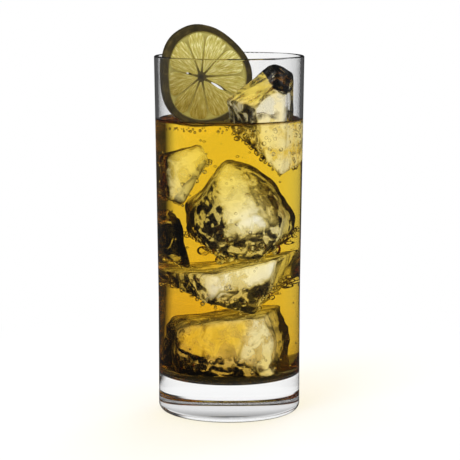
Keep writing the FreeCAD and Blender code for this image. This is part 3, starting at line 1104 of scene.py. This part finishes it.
# The floor keeps its own shade out to the first reach, and runs out into white by the second.
FLOOR_SHADE = (60 * MM, 220 * MM)
TUMBLER_MIDDLE = 80 * MM
LAMPS = (("front_lamp", (-0.5, -0.7, 0.7), 4.5), ("back_lamp", (0.3, 0.7, 0.5), 3.0))
LAMP_SIZE = 0.5
LAMP_AIM = Vector((0, 0, 0.1))
CAMERA_PLACE = (0, -0.83, 0.199)
CAMERA_DIP = math.radians(8.12)
LENS = 147.65
LENS_SHIFT = 0.0017
# Clear pieces lie one in another, so a ray crosses many surfaces.
MOST_CROSSINGS = 36
MOST_BOUNCES = 40


def dark_cards(tree, vector):
    """Where the two dark cards stand that give the drink its dark sides: one is 1, none is 0."""
    parts = add_node(tree, "ShaderNodeSeparateXYZ", {0: vector})
    turn = worked(tree, "ARCTAN2", parts.outputs["X"], parts.outputs["Y"])
    around = worked(tree, "MULTIPLY_ADD", turn, 0.5 / math.pi, 0.5)
    return ramp(tree, around, [
        (0.24, (0, 0, 0)), (0.28, (1, 1, 1)), (0.33, (1, 1, 1)), (0.35, (0, 0, 0)),
        (0.57, (0, 0, 0)), (0.60, (1, 1, 1)), (0.68, (1, 1, 1)), (0.71, (0, 0, 0))])


def studio_white(tree, path, away, cards, mirrored_in_glass):
    """Whether this ray sees the plain white surroundings, and how bright.

    Away is 0 level with the tumbler and 1 far above or below it. Seen straight, the surroundings
    are white. Seen through the drink they grow dim far above and below, and a mirrored view is dim
    almost everywhere, as in a studio where only what stands level with the tumbler is lit. The
    dark cards show through the drink and straight through the base, and nowhere else.
    """
    crossed = path.outputs["Transmission Depth"]
    mirrored = worked(tree, "GREATER_THAN", path.outputs["Glossy Depth"], 0.5)
    outside = worked(tree, "LESS_THAN", crossed, 0.5)
    past_base = worked(tree, "GREATER_THAN", crossed, BASE_SURFACES)
    wet = worked(tree, "GREATER_THAN", crossed, DRY_SURFACES)
    through_drink = either(tree, wet, 1.0, mapped(tree, away, 0.55, 0.95, 1.0, DIM))
    in_glass = mapped(tree, away, 0.3, 0.7, mirrored_in_glass, MIRRORED)
    in_mirror = either(tree, past_base, in_glass, MIRRORED)
    plain = either(tree, mirrored, through_drink, in_mirror)
    in_base = worked(tree, "SUBTRACT", 1.0, worked(tree, "MAXIMUM", past_base, mirrored))
    carded = worked(tree, "MAXIMUM", wet, in_base)
    lit = worked(tree, "MULTIPLY_ADD", cards, -CARD_DEPTH, 1.0)
    inner = worked(tree, "MULTIPLY", plain, either(tree, carded, 1.0, lit))
    reflected = worked(tree, "MULTIPLY", path.outputs["Is Glossy Ray"], outside)
    unseen = either(tree, reflected, inner, REFLECTED)
    level = either(tree, path.outputs["Is Camera Ray"], unseen, 1.0)
    seen = worked(tree, "MAXIMUM", path.outputs["Is Camera Ray"],
                  path.outputs["Is Transmission Ray"])
    seen = worked(tree, "MAXIMUM", seen, path.outputs["Is Glossy Ray"])
    return seen, level


def make_floor():
    """A pale floor that keeps the shadow near the tumbler and runs out into white."""
    bpy.ops.object.select_all(action="DESELECT")
    bpy.ops.mesh.primitive_plane_add(size=12, location=(0, 0, 0))
    floor = newest("floor")
    material, tree, shader, output = new_material("pale_floor")
    settle(shader, {"Base Color": (0.8, 0.8, 0.8, 1), "Roughness": 0.9, "Specular IOR Level": 0.0})
    place = add_node(tree, "ShaderNodeTexCoord")
    reach = add_node(tree, "ShaderNodeVectorMath", {0: place.outputs["Object"]}, operation="LENGTH")
    far = mapped(tree, reach.outputs["Value"], *FLOOR_SHADE, easing="SMOOTHSTEP")
    below = worked(tree, "DIVIDE", TUMBLER_MIDDLE, reach.outputs["Value"], clamp=True)
    path = add_node(tree, "ShaderNodeLightPath")
    seen, level = studio_white(tree, path, below, dark_cards(tree, place.outputs["Object"]),
                               FLOOR_IN_GLASS)
    own_share = either(tree, path.outputs["Is Camera Ray"], 1.0, far)
    share = worked(tree, "MULTIPLY", seen, own_share)
    white = add_node(tree, "ShaderNodeEmission", {"Strength": level})
    mix = add_node(tree, "ShaderNodeMixShader", {0: share})
    tree.links.new(shader.outputs["BSDF"], mix.inputs[1])
    tree.links.new(white.outputs["Emission"], mix.inputs[2])
    tree.links.new(mix.outputs["Shader"], output.inputs["Surface"])
    finish_with(floor, material)


def make_world():
    """White where it is seen, and a little lower as light."""
    world = bpy.data.worlds.new("studio")
    bpy.context.scene.world = world
    world.use_nodes = True
    tree = world.node_tree
    back = tree.nodes["Background"]
    place = add_node(tree, "ShaderNodeTexCoord")
    parts = add_node(tree, "ShaderNodeSeparateXYZ", {0: place.outputs["Generated"]})
    above = worked(tree, "ABSOLUTE", parts.outputs["Z"])
    path = add_node(tree, "ShaderNodeLightPath")
    seen, level = studio_white(tree, path, above, dark_cards(tree, place.outputs["Generated"]),
                               STUDIO_IN_GLASS)
    back.inputs["Color"].default_value = (1, 1, 1, 1)
    tree.links.new(either(tree, seen, AMBIENT, level), back.inputs["Strength"])


def make_lamp(name, place, power):
    """A soft square lamp that faces the tumbler."""
    data = bpy.data.lights.new(name, "AREA")
    data.size = LAMP_SIZE
    data.energy = power
    lamp = bpy.data.objects.new(name, data)
    bpy.context.scene.collection.objects.link(lamp)
    lamp.location = place
    lamp.rotation_euler = (LAMP_AIM - Vector(place)).to_track_quat("-Z", "Y").to_euler()
    lamp.visible_transmission = False
    lamp.visible_glossy = False
    lamp.visible_camera = False


def make_camera():
    """A long lens that looks a little down on the tumbler."""
    data = bpy.data.cameras.new("camera")
    data.sensor_width = 36
    data.lens = LENS
    data.shift_x = LENS_SHIFT
    data.clip_start = 0.01
    camera = bpy.data.objects.new("camera", data)
    camera.location = CAMERA_PLACE
    camera.rotation_euler = (math.radians(90) - CAMERA_DIP, 0, 0)
    bpy.context.scene.collection.objects.link(camera)
    bpy.context.scene.camera = camera


make_floor()
make_world()
for name, place, power in LAMPS:
    make_lamp(name, place, power)
make_camera()

scene = bpy.context.scene
scene.view_settings.view_transform = "Standard"
scene.cycles.max_bounces = MOST_BOUNCES
scene.cycles.transmission_bounces = MOST_CROSSINGS
scene.cycles.glossy_bounces = 12
scene.cycles.transparent_max_bounces = MOST_BOUNCES
scene.cycles.caustics_refractive = False
scene.cycles.caustics_reflective = False
